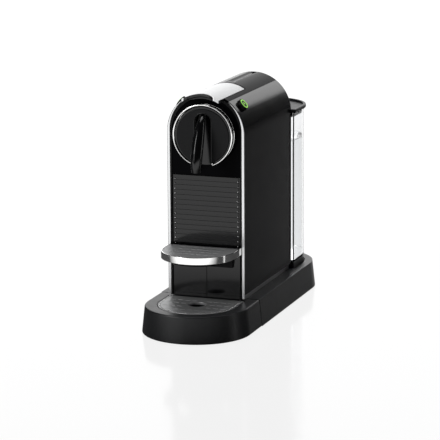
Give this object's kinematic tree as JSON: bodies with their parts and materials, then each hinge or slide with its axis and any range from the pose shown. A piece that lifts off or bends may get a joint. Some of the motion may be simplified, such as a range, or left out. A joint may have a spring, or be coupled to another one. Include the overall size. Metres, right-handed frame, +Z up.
{
  "type": "pod coffee machine",
  "caption": "Slim pod coffee machine on a long base, with a lift lever, round brewing head, folding cup support, pull-out drip unit and rear water tank.",
  "frame": {"origin": "centre of the base footprint on the table", "axes": "+Z up, front faces -Y, +X to the right side as seen from the front"},
  "size_m": [0.1298, 0.3717, 0.277],
  "materials": {
    "satin_black_plastic": "satin moulded",
    "piano_black": "high gloss",
    "matte_black_plastic": "fine matte",
    "charcoal_disc": "matte",
    "bright_trim": "bright",
    "satin_silver": "satin",
    "brushed_grid": "brushed",
    "clear_tank": "clear",
    "rubber": "matte",
    "zinc_steel": "plated",
    "cast_block": "cast",
    "brass_fittings": "turned",
    "grey_plastic": "glass-filled",
    "white_plastic": "moulded",
    "silicone_hose": "translucent",
    "circuit_green": "lacquered",
    "light_ring": "diffuser"
  },
  "bodies": {
    "machine": {"base_plinth": "satin_black_plastic", "base_bottom_plate": "satin_black_plastic", "rubber_feet": "rubber", "base_screws": "zinc_steel", "cable_gland": "satin_black_plastic", "side_panel_left": "piano_black", "side_panel_right": "piano_black", "top_cover": "piano_black", "rear_panel": "piano_black", "body_screws": "zinc_steel", "front_frame": "matte_black_plastic", "front_fascia": "piano_black", "trim_strip_left": "satin_silver", "trim_strip_right": "satin_silver", "head_housing": "piano_black", "head_ring_rear": "bright_trim", "head_ring_front": "bright_trim", "head_disc": "charcoal_disc", "spout": "piano_black", "internal_frame": "zinc_steel", "brew_housing": "grey_plastic", "brew_front_plate": "grey_plastic", "thermoblock": "cast_block", "heater_element": "cast_block", "thermostats": "brass_fittings", "pump": "brass_fittings", "pump_mounts": "rubber", "flow_meter_housing": "white_plastic", "water_hoses": "silicone_hose", "control_board": "circuit_green", "button_switches": "white_plastic", "tank_seat": "satin_black_plastic", "tank_seal": "rubber"},
    "lever": {"lever_plate": "satin_silver", "lever_grip": "satin_black_plastic", "lever_cams": "zinc_steel", "lever_axle": "zinc_steel"},
    "carriage": {"brew_carriage": "grey_plastic", "injection_needles": "zinc_steel", "carriage_pin": "zinc_steel"},
    "espresso_key": {"espresso_button": "matte_black_plastic", "espresso_light_ring": "light_ring"},
    "lungo_key": {"lungo_button": "matte_black_plastic", "lungo_light_ring": "light_ring"},
    "drip_unit": {"drip_base": "satin_black_plastic", "drip_feet": "rubber", "drip_tray": "matte_black_plastic", "capsule_container": "matte_black_plastic", "fin_panel": "piano_black", "lower_panel": "piano_black", "support_bracket": "matte_black_plastic"},
    "grid": {"drip_grid": "brushed_grid"},
    "cup_support": {"cup_support_tray": "matte_black_plastic", "cup_support_rim": "bright_trim", "cup_support_grid": "brushed_grid", "cup_support_pin": "zinc_steel"},
    "tank": {"water_tank": "clear_tank", "tank_base_ring": "satin_black_plastic"},
    "lid": {"tank_lid": "charcoal_disc"},
    "flow_rotor": {"flow_meter_rotor": "white_plastic"}
  },
  "joints": [
    {"name": "lever_lift", "type": "hinge", "parent": "machine", "child": "lever", "pos_m": [0, -0.044, 0.263], "axis": [-1, 0, 0], "range_deg": [0, 75]},
    {"name": "carriage_slide", "type": "slide", "parent": "machine", "child": "carriage", "axis": [0, 1, 0], "range_m": [0, 0.014]},
    {"name": "espresso_press", "type": "slide", "parent": "machine", "child": "espresso_key", "axis": [-0.766, 0, -0.6428], "range_m": [0, 0.0012], "stiffness_N_per_m": 600},
    {"name": "lungo_press", "type": "slide", "parent": "machine", "child": "lungo_key", "axis": [0.766, 0, -0.6428], "range_m": [0, 0.0012], "stiffness_N_per_m": 600},
    {"name": "drip_unit_pull", "type": "slide", "parent": "machine", "child": "drip_unit", "axis": [0, -1, 0], "range_m": [0, 0.16]},
    {"name": "grid_lift", "type": "slide", "parent": "drip_unit", "child": "grid", "axis": [0, 0, 1], "range_m": [0, 0.03]},
    {"name": "support_fold", "type": "hinge", "parent": "drip_unit", "child": "cup_support", "pos_m": [0, -0.0931, 0.0934], "axis": [-1, 0, 0], "range_deg": [0, 88]},
    {"name": "tank_lift", "type": "slide", "parent": "machine", "child": "tank", "axis": [0, 0, 1], "range_m": [0, 0.06]},
    {"name": "lid_lift", "type": "slide", "parent": "tank", "child": "lid", "axis": [0, 0, 1], "range_m": [0, 0.03]},
    {"name": "rotor_spin", "type": "hinge", "parent": "machine", "child": "flow_rotor", "pos_m": [0, 0.064, 0.129], "axis": [0, 0, 1], "continuous": true}
  ],
  "couplings": [
    {"joint": "carriage_slide", "follows": "lever_lift", "m_per_rad": 0.010695}
  ]
}
